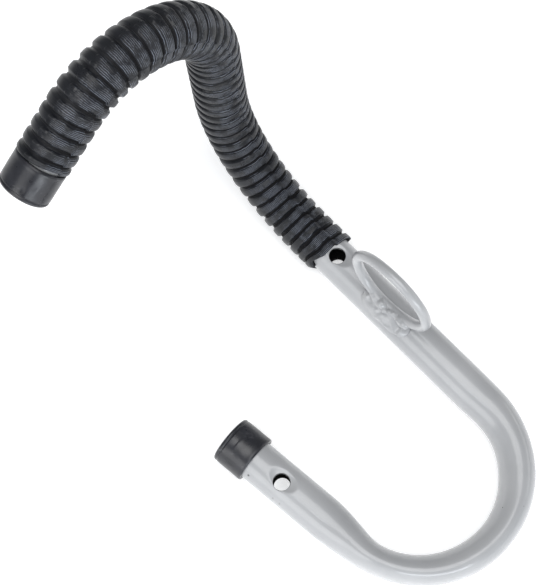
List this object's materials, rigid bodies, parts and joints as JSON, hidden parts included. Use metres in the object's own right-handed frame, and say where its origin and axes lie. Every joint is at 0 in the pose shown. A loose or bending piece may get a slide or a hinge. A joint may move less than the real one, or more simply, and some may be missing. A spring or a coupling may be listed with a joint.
{
  "type": "wall storage hook",
  "caption": "Bent steel tube hook that screws flat to a wall and holds a hung bicycle on a rubber-sleeved arm, with end caps and a welded padlock ring.",
  "frame": {"origin": "on the wall face, midway between the two screw holes", "axes": "+Z out of the wall; +Y from the screw hole beside the heel cap to the screw hole beside the arm; +X towards the base bend"},
  "size_m": [0.3254, 0.2572, 0.2115],
  "materials": {
    "enamel": "glossy silver-grey enamel over steel",
    "sleeve_rubber": "ribbed black rubber with a soft sheen",
    "cap_vinyl": "smooth charcoal vinyl with a satin sheen"
  },
  "bodies": {
    "root": {"hook_tube": "enamel", "ribbed_sleeve": "sleeve_rubber", "tip_cap": "cap_vinyl", "heel_cap": "cap_vinyl", "lock_ring": "enamel", "ring_weld": "enamel"}
  },
  "joints": []
}
